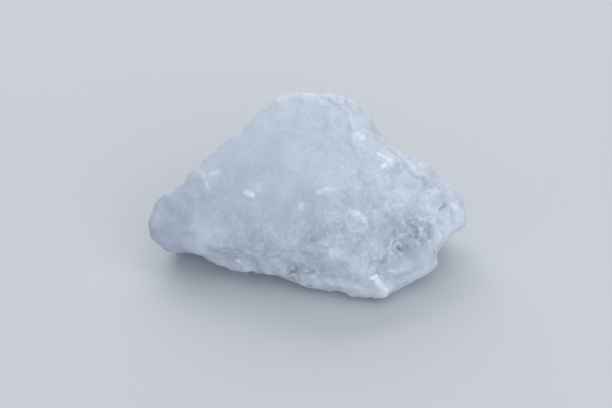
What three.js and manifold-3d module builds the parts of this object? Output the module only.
// A broken lump of milky alum crystal, lying on the flat break under it.
// Millimetres, +Z up, front towards -Y. The origin is on the surface that the lump lies on,
// under the middle of its box.
//
// The lump is worked out from its heart, a point inside it. In each direction from the heart the
// surface lies where the nearest of these is met: the rim, whose outline is the lump's own as it is
// seen from the front and a little above, or one of the flat breaks that trim the front, back and
// underside. Swells, hollows, ledges and chips then shape that surface, pits are eaten into it, and the
// base is cut flat.

import * as THREE from "three";
import { ImprovedNoise } from "three/addons/math/ImprovedNoise.js";
import { mergeVertices } from "three/addons/utils/BufferGeometryUtils.js";
import Module from "manifold-3d";

const { clamp, degToRad, smoothstep } = THREE.MathUtils;

// Driving dimensions
const outlineTilt = degToRad(35); // how far above the horizon the outline is seen from
const heartHeight = 18.5; // from the base up to the heart
const rimForward = 10; // how far the rim lies in front of the heart, towards that view
const rimBow = 6; // how much further back the rim lies at the lump's two ends
const rimFall = 0.35; // the share by which the side falls in, far in front of the rim or behind it
const rimSpare = 1.007; // makes up for what the rounded edges take off the outline
const rimHold = 0.7; // the share of the swells that the rim is spared, to keep its outline
const rimStart = 0.88; // a point counts as on the rim from this share of the way out to it
const rimFull = 0.98; // and wholly from this share
const edgeSharpness = 44; // higher gives crisper edges between the breaks
const skinDetail = 20; // each side of the starting icosahedron is split into one more than this
const skinStretch = new THREE.Vector3(46, 33, 30); // spreads the skin's triangles evenly over the lump

// The rim, seen along the tilted view: [across, up] from the heart, anticlockwise from the right end.
const rimOutline = [
  [46.1, -5.0], [46.6, 2.6], [43.6, 4.7], [39.8, 7.5], [36.4, 10.8], [33.0, 13.1], [29.6, 14.5],
  [26.2, 16.2], [23.4, 18.6], [20.2, 22.8], [19.0, 25.0], [14.8, 29.4], [11.7, 30.5], [5.5, 32.6],
  [0.8, 32.7], [-4.1, 33.1], [-6.1, 32.5], [-10.4, 29.1], [-13.7, 26.9], [-18.1, 21.7],
  [-23.3, 18.6], [-30.2, 12.4], [-35.1, 7.4], [-38.2, 4.6], [-41.7, 2.8], [-44.0, 0.7],
  [-46.5, -3.7], [-45.9, -7.0], [-44.9, -10.7], [-42.8, -13.0], [-40.2, -14.3], [-34.8, -13.8],
  [-30.2, -15.1], [-23.3, -18.6], [-19.6, -20.0], [-15.6, -19.4], [-9.7, -20.9], [-6.1, -22.2],
  [0.2, -23.3], [5.2, -24.8], [15.7, -26.3], [22.2, -26.1], [26.4, -25.2], [32.4, -21.4], [37.2, -18.8],
  [38.5, -16.9], [37.2, -14.1], [41.6, -9.6], [45.1, -6.8],
].map(([across, up]) => new THREE.Vector2(across, up));

// The flat breaks: which way each faces, as degrees round from the front (to the right is positive)
// and degrees above the horizon, and how far from the heart it lies.
const breaks = [
  { name: "broad left slope", round: -27, above: 42, distance: 19.2 },
  { name: "middle slope", round: 3, above: 46, distance: 18.8 },
  { name: "right slope", round: 29, above: 44, distance: 20.2 },
  { name: "left skirt", round: -14, above: -17, distance: 22.6 },
  { name: "right skirt", round: 37, above: -9, distance: 36 },
  { name: "left end, underneath", round: -75, above: -40, distance: 39 },
  { name: "right end, underneath", round: 80, above: -40, distance: 39 },
  { name: "left back", round: -134, above: 28, distance: 30 },
  { name: "back", round: 178, above: 16, distance: 23.5 },
  { name: "right back", round: 128, above: 24, distance: 34 },
  { name: "crest", round: 174, above: 54, distance: 33 },
  { name: "left back, low", round: -120, above: -8, distance: 38.5 },
  { name: "right back, low", round: 146, above: -10, distance: 33 },
].map((flat) => ({ ...flat, normal: facing(flat.round, flat.above) }));

// Swells: the width of one, and how far it stands out or in.
const swells = [
  { width: 21, height: 1.5 },
  { width: 9, height: 0.55 },
];

// Hollows: where (round and above, as for the breaks), how wide from the middle out, and how deep.
const hollows = [
  { name: "pitted hollow", round: 67, above: 0, radius: 9, depth: 1.7 },
  { name: "scoop under the right slope", round: 44, above: -8, radius: 7, depth: 1.1 },
  { name: "undercut of the left skirt", round: -50, above: -17, radius: 10, depth: 1.4 },
  { name: "undercut of the middle", round: 2, above: -20, radius: 9, depth: 1.3 },
  { name: "dent in the left slope", round: -48, above: 24, radius: 8, depth: 0.8 },
  { name: "back scoop", round: 166, above: 6, radius: 14, depth: 2.2 },
  { name: "left back scoop", round: -142, above: 42, radius: 12, depth: 1.6 },
  { name: "right back scoop", round: 118, above: 16, radius: 11, depth: 1.5 },
];
const hollowWander = 2.5; // how far a hollow's edge strays from a circle
const hollowFloor = 0.15; // the share of its radius over which a hollow is level

// Ledges along the right shoulder, where a thin slab has come off: the line that it broke along, seen
// along the tilted view as the rim is, how far the rest stands above it, and how wide the rest is.
const ledges = [
  { line: [[5.5, 31.3], [9.3, 29.0], [11.9, 26.7], [12.8, 22.3]], rise: 0.8, width: 7 },
  { line: [[23.8, 16.0], [26.7, 11.6], [29.3, 8.1], [31.6, 7.8]], rise: 0.8, width: 8 },
].map((ledge) => ({ ...ledge, line: ledge.line.map(([across, up]) => new THREE.Vector2(across, up)) }));
const ledgeSlope = 0.6; // half the width of the step itself

// Chips: small flat breaks, each tipped its own way, everywhere but on the calm patch.
const chipSize = 9.5;
const chipHeight = 1.3;
const chipBorder = 0.2; // the share of its size over which a chip fades into the next
const calmPatch = { round: -20, above: 58, radius: 34, core: 0.5 };

// Pits eaten into the hollow at the right and under the skirt's edge, each group spread in a spiral.
// Each is an octahedron, as alum's own crystals are.
const pitGroups = [
  { round: 69, above: 1, count: 9, spread: 6.5, radius: 2.9 },
  { round: 57, above: -2, count: 6, spread: 5, radius: 2.6 },
  { round: -10, above: -24, count: 8, spread: 17, radius: 2.2 },
];
const pitRise = 0.58; // how far a pit's middle lies above the surface, as a share of its radius
const pitSpread = 0.6; // a group's height, as a share of its width
const pitVariety = 0.25; // how much the pits of a group differ in size
const goldenTurn = Math.PI * (3 - Math.sqrt(5));

const wasm = await Module();
wasm.setup();
const noise = new ImprovedNoise();
const heart = new THREE.Vector3(0, 0, heartHeight);

// The tilted view's own directions. Across is +X.
const viewUp = new THREE.Vector3(0, Math.sin(outlineTilt), Math.cos(outlineTilt));
const viewTowards = new THREE.Vector3(0, -Math.cos(outlineTilt), Math.sin(outlineTilt));

function facing(round, above) {
  const r = degToRad(round);
  const a = degToRad(above);
  return new THREE.Vector3(Math.sin(r) * Math.cos(a), -Math.cos(r) * Math.cos(a), Math.sin(a));
}

// How far the outline is from the heart, at an angle in the tilted view.
function outlineRadius(angle) {
  const along = new THREE.Vector2(Math.cos(angle), Math.sin(angle));
  for (let i = 0; i < rimOutline.length; i++) {
    const a = rimOutline[i];
    const b = rimOutline[(i + 1) % rimOutline.length];
    if (a.cross(along) < 0 || along.cross(b) <= 0) continue;
    const side = b.clone().sub(a);
    return (rimSpare * a.cross(side)) / along.cross(side);
  }
  throw new Error("the outline has a gap");
}

// How far the rim's side wall is in a direction. It reaches the outline at the rim itself, which bows
// back towards the ends, and falls in from it to the front and to the back.
function wallReach(direction) {
  const across = direction.x;
  const up = direction.dot(viewUp);
  const sideways = Math.hypot(across, up);
  if (sideways < 1e-6) return Infinity;
  const radius = outlineRadius(Math.atan2(up, across));
  const slope = direction.dot(viewTowards) / sideways;
  const rimSlope = (rimForward - rimBow * (across / sideways) ** 2) / radius;
  const away = (slope - rimSlope) ** 2;
  const fallen = radius * (1 - (rimFall * away) / (1 + away));
  return fallen / sideways;
}

// The distance from the heart to the rim or the nearest break. The powers round off every edge.
function reach(direction) {
  let sum = wallReach(direction) ** -edgeSharpness;
  for (const flat of breaks) {
    const share = flat.normal.dot(direction) / flat.distance;
    if (share > 0) sum += share ** edgeSharpness;
  }
  return sum ** (-1 / edgeSharpness);
}

function barePoint(direction) {
  return heart.clone().addScaledVector(direction, reach(direction));
}

// From 0, well inside a break, to 1 on the rim's side wall.
function rimShare(direction) {
  return smoothstep(reach(direction) / wallReach(direction), rimStart, rimFull);
}

function noiseAt(point, width) {
  return noise.noise(point.x / width, point.y / width, point.z / width);
}

// One number from 0 to 1 for a cell of space, the same every time.
function cellChance(cell, salt) {
  const wave = 43758.5453 * Math.sin(cell.dot(new THREE.Vector3(12.9898, 78.233, 37.719)) + salt);
  return wave - Math.floor(wave);
}

function cellVector(cell, salt) {
  return new THREE.Vector3(cellChance(cell, salt), cellChance(cell, salt + 1), cellChance(cell, salt + 2));
}

// How far the chip at a point stands out: it is tipped about its own middle, and fades at its border.
function chipAt(point) {
  const home = point.clone().divideScalar(chipSize).floor();
  let near = { distance: Infinity };
  let next = Infinity;
  for (let i = 0; i < 27; i++) {
    const cell = new THREE.Vector3((i % 3) - 1, (Math.floor(i / 3) % 3) - 1, Math.floor(i / 9) - 1).add(home);
    const middle = cellVector(cell, 0).add(cell).multiplyScalar(chipSize);
    const distance = middle.distanceTo(point);
    if (distance < near.distance) {
      next = near.distance;
      near = { distance, middle, cell };
    } else if (distance < next) next = distance;
  }
  const tip = cellVector(near.cell, 3).subScalar(0.5).multiplyScalar(2);
  const tipped = tip.dot(point.clone().sub(near.middle)) / chipSize;
  return tipped * smoothstep(next - near.distance, 0, chipBorder * chipSize);
}

// How far past a ledge's line a spot of the tilted view lies. It is below 0 on the side that broke off.
function pastLedge({ line }, spot) {
  let past = Infinity;
  for (let i = 1; i < line.length; i++) {
    const side = line[i].clone().sub(line[i - 1]);
    const gap = spot.clone().sub(line[i - 1]);
    const share = clamp(gap.dot(side) / side.lengthSq(), 0, 1);
    gap.addScaledVector(side, -share);
    if (gap.length() < Math.abs(past)) past = gap.length() * (side.cross(gap) < 0 ? -1 : 1);
  }
  return past;
}

function ledgeAt(point, direction) {
  if (direction.dot(viewTowards) < 0) return 0;
  const spot = new THREE.Vector2(point.x, point.clone().sub(heart).dot(viewUp));
  let out = 0;
  for (const ledge of ledges) {
    const past = pastLedge(ledge, spot);
    out += ledge.rise * smoothstep(past, -ledgeSlope, ledgeSlope) * (1 - smoothstep(past, 0, ledge.width));
  }
  return out;
}

function relief(point, direction) {
  let out = 0;
  for (const { width, height } of swells) out += height * noiseAt(point, width);
  out *= 1 - rimHold * rimShare(direction);
  for (const { middle, radius, depth } of hollows) {
    const distance = point.distanceTo(middle) + hollowWander * noiseAt(point, radius);
    out -= depth * (1 - smoothstep(distance, hollowFloor * radius, radius));
  }
  const { middle, radius, core } = calmPatch;
  const calm = 1 - smoothstep(point.distanceTo(middle), core * radius, radius);
  out += chipHeight * (1 - calm) * chipAt(point);
  return out + (1 - rimShare(direction)) * ledgeAt(point, direction);
}

function surfacePoint(direction) {
  const bare = barePoint(direction);
  return bare.addScaledVector(direction, relief(bare, direction));
}

for (const place of [...hollows, calmPatch]) place.middle = barePoint(facing(place.round, place.above));

function solidOf(geometry) {
  const bare = geometry.clone();
  bare.deleteAttribute("normal");
  bare.deleteAttribute("uv");
  const merged = mergeVertices(bare, 1e-4);
  return new wasm.Manifold(new wasm.Mesh({
    numProp: 3,
    vertProperties: new Float32Array(merged.attributes.position.array),
    triVerts: new Uint32Array(merged.index.array),
  }));
}

function geometryOf(solid) {
  const mesh = solid.getMesh();
  return new THREE.BufferGeometry()
    .setAttribute("position", new THREE.BufferAttribute(mesh.vertProperties, 3))
    .setIndex(new THREE.BufferAttribute(mesh.triVerts, 1));
}

// The whole skin: an icosahedron's fine facets pushed out to the surface.
function makeSkin() {
  const skin = new THREE.IcosahedronGeometry(1, skinDetail);
  const position = skin.attributes.position;
  const direction = new THREE.Vector3();
  for (let i = 0; i < position.count; i++) {
    direction.fromBufferAttribute(position, i).multiply(skinStretch).normalize();
    position.setXYZ(i, ...surfacePoint(direction));
  }
  return solidOf(skin);
}

// The pits of one group, each turned its own way.
function pits({ round, above, count, spread, radius }) {
  return Array.from({ length: count }, (_, i) => {
    const out = spread * Math.sqrt((i + 0.5) / count);
    const turn = i * goldenTurn;
    const direction = facing(round + out * Math.cos(turn), above + pitSpread * out * Math.sin(turn));
    const size = radius * (1 - pitVariety * (1 - Math.cos(5 * turn)));
    const middle = surfacePoint(direction).addScaledVector(direction, pitRise * size);
    const pit = new THREE.OctahedronGeometry(size).rotateY(turn).rotateX(2 * turn);
    return solidOf(pit.translate(...middle));
  });
}

// Everything under the base's level.
function underBase() {
  const size = 200;
  return solidOf(new THREE.BoxGeometry(size, size, size).translate(0, 0, -size / 2));
}

function makeCrystal() {
  const cuts = [...pitGroups.flatMap(pits), underBase()];
  const solid = cuts.reduce((left, cut) => left.subtract(cut), makeSkin());
  const geometry = geometryOf(solid);
  geometry.computeVertexNormals();
  return geometry;
}

const milkyAlum = new THREE.MeshStandardMaterial({ color: 0xb0bccc, roughness: 0.42, metalness: 0 });
const crystal = new THREE.Mesh(makeCrystal(), milkyAlum);
crystal.name = "alum_crystal";

// Set down with its box's middle over the origin
crystal.geometry.computeBoundingBox();
const middle = crystal.geometry.boundingBox.getCenter(new THREE.Vector3());
crystal.position.set(-middle.x, -middle.y, 0);

const lump = new THREE.Group();
lump.add(crystal);

export default lump;
